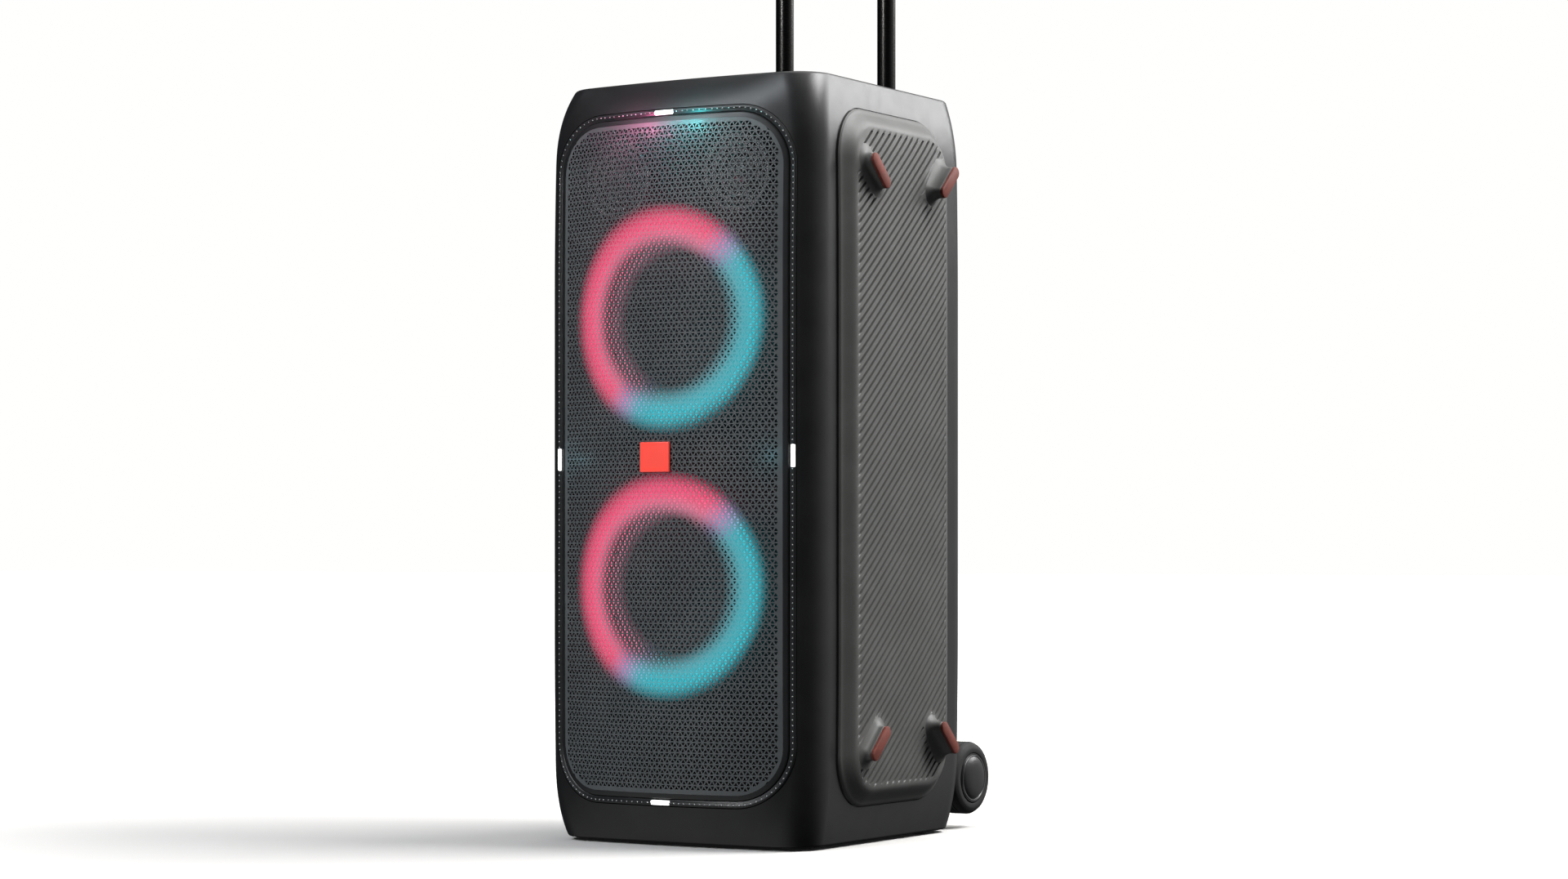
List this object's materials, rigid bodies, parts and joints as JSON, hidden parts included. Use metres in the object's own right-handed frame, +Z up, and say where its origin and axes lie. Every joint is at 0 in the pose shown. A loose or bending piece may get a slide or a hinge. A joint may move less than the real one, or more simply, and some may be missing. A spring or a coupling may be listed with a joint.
{
  "type": "party speaker",
  "caption": "Tall battery party speaker: bowed perforated grille over glowing woofer rings, grooved side panels, telescopic pull handle, rear wheels",
  "frame": {"origin": "on the floor, below the middle of the outer bounding box", "axes": "+Z up, the grille faces -Y, the side with rubber feet faces +X, the wheels are at +Y"},
  "size_m": [0.3258, 0.3942, 1.0504],
  "materials": {
    "black_plastic": "fine-textured black moulded plastic",
    "panel_plastic": "soft matt black moulded plastic",
    "grille_metal": "perforated steel sheet, satin black powder coat",
    "orange_badge": "plain orange-red badge plate, satin",
    "strobe_lens": "milky white lens",
    "ring_diffuser": "translucent light-ring diffuser",
    "cone_paper": "black pressed cone",
    "black_rubber": "black rubber",
    "tyre_rubber": "black rubber tyre",
    "brown_rubber": "brown-red rubber",
    "steel": "plain steel",
    "black_anodised": "black anodised aluminium",
    "board_green": "green circuit board",
    "battery_blue": "blue shrink-wrapped pack"
  },
  "bodies": {
    "cabinet": {"amplifier_board": "board_green", "axle_carrier": "black_plastic", "badge": "orange_badge", "baffle": "black_plastic", "base_foot_front_left": "black_rubber", "base_foot_front_right": "black_rubber", "base_foot_rear_left": "black_rubber", "base_foot_rear_right": "black_rubber", "battery_pack": "battery_blue", "cabinet_shell": "black_plastic", "connection_panel": "panel_plastic", "front_bezel": "black_plastic", "grille": "grille_metal", "light_ring_lower": "ring_diffuser", "light_ring_upper": "ring_diffuser", "mains_inlet": "black_plastic", "pole_guide_left": "black_plastic", "pole_guide_right": "black_plastic", "reflex_port": "black_plastic", "side_foot_lower_front": "brown_rubber", "side_foot_lower_rear": "brown_rubber", "side_foot_upper_front": "brown_rubber", "side_foot_upper_rear": "brown_rubber", "side_panel_left": "panel_plastic", "side_panel_right": "panel_plastic", "strobe_lens_bottom": "strobe_lens", "strobe_lens_left": "strobe_lens", "strobe_lens_right": "strobe_lens", "strobe_lens_top": "strobe_lens", "top_panel": "panel_plastic", "tweeter_driver_left": "steel", "tweeter_driver_right": "steel", "tweeter_horn_left": "black_plastic", "tweeter_horn_right": "black_plastic", "wheel_axle": "steel", "woofer_frame_lower": "steel", "woofer_frame_upper": "steel", "woofer_magnet_lower": "steel", "woofer_magnet_upper": "steel", "woofer_surround_lower": "black_rubber", "woofer_surround_upper": "black_rubber"},
    "handle": {"handle_pole_left": "black_anodised", "handle_pole_right": "black_anodised", "handle_grip": "black_plastic"},
    "release": {"release_button": "black_plastic"},
    "power_button_body": {"power_button": "black_plastic"},
    "bluetooth_button_body": {"bluetooth_button": "black_plastic"},
    "light_button_body": {"light_button": "black_plastic"},
    "volume_down_button_body": {"volume_down_button": "black_plastic"},
    "play_button_body": {"play_button": "black_plastic"},
    "volume_up_button_body": {"volume_up_button": "black_plastic"},
    "cone_lower": {"woofer_cone_lower": "cone_paper"},
    "cone_upper": {"woofer_cone_upper": "cone_paper"},
    "wheel_left": {"wheel_tyre_left": "tyre_rubber", "wheel_hub_left": "black_plastic"},
    "wheel_right": {"wheel_tyre_right": "tyre_rubber", "wheel_hub_right": "black_plastic"},
    "knob_left": {"gain_knob_left": "black_plastic"},
    "knob_right": {"gain_knob_right": "black_plastic"},
    "cover": {"port_cover": "black_rubber"}
  },
  "joints": [
    {"name": "handle_slide", "type": "slide", "parent": "cabinet", "child": "handle", "axis": [0, 0, 1], "range_m": [-0.332, 0]},
    {"name": "release_press", "type": "slide", "parent": "handle", "child": "release", "axis": [0, 0, -1], "range_m": [0, 0.0025], "stiffness_N_per_m": 300},
    {"name": "power_press", "type": "slide", "parent": "cabinet", "child": "power_button_body", "axis": [0, 0, -1], "range_m": [0, 0.001], "stiffness_N_per_m": 300},
    {"name": "bluetooth_press", "type": "slide", "parent": "cabinet", "child": "bluetooth_button_body", "axis": [0, 0, -1], "range_m": [0, 0.001], "stiffness_N_per_m": 300},
    {"name": "light_press", "type": "slide", "parent": "cabinet", "child": "light_button_body", "axis": [0, 0, -1], "range_m": [0, 0.001], "stiffness_N_per_m": 300},
    {"name": "volume_down_press", "type": "slide", "parent": "cabinet", "child": "volume_down_button_body", "axis": [0, 0, -1], "range_m": [0, 0.001], "stiffness_N_per_m": 300},
    {"name": "play_press", "type": "slide", "parent": "cabinet", "child": "play_button_body", "axis": [0, 0, -1], "range_m": [0, 0.001], "stiffness_N_per_m": 300},
    {"name": "volume_up_press", "type": "slide", "parent": "cabinet", "child": "volume_up_button_body", "axis": [0, 0, -1], "range_m": [0, 0.001], "stiffness_N_per_m": 300},
    {"name": "cone_lower_stroke", "type": "slide", "parent": "cabinet", "child": "cone_lower", "axis": [0, -1, 0], "range_m": [-0.004, 0.004], "stiffness_N_per_m": 1000, "deforming": ["woofer_surround_lower"]},
    {"name": "cone_upper_stroke", "type": "slide", "parent": "cabinet", "child": "cone_upper", "axis": [0, -1, 0], "range_m": [-0.004, 0.004], "stiffness_N_per_m": 1000, "deforming": ["woofer_surround_upper"]},
    {"name": "wheel_left_spin", "type": "hinge", "parent": "cabinet", "child": "wheel_left", "pos_m": [-0.11136, 0.1626, 0.048], "axis": [1, 0, 0], "continuous": true},
    {"name": "wheel_right_spin", "type": "hinge", "parent": "cabinet", "child": "wheel_right", "pos_m": [0.10064, 0.1626, 0.048], "axis": [1, 0, 0], "continuous": true},
    {"name": "knob_left_turn", "type": "hinge", "parent": "cabinet", "child": "knob_left", "pos_m": [-0.03536, 0.1284, 0.214], "axis": [0, 1, 0], "range_deg": [-140, 140]},
    {"name": "knob_right_turn", "type": "hinge", "parent": "cabinet", "child": "knob_right", "pos_m": [0.02464, 0.1284, 0.214], "axis": [0, 1, 0], "range_deg": [-140, 140]},
    {"name": "cover_flip", "type": "hinge", "parent": "cabinet", "child": "cover", "pos_m": [-0.00536, 0.125, 0.18], "axis": [1, 0, 0], "range_deg": [0, 100]}
  ]
}
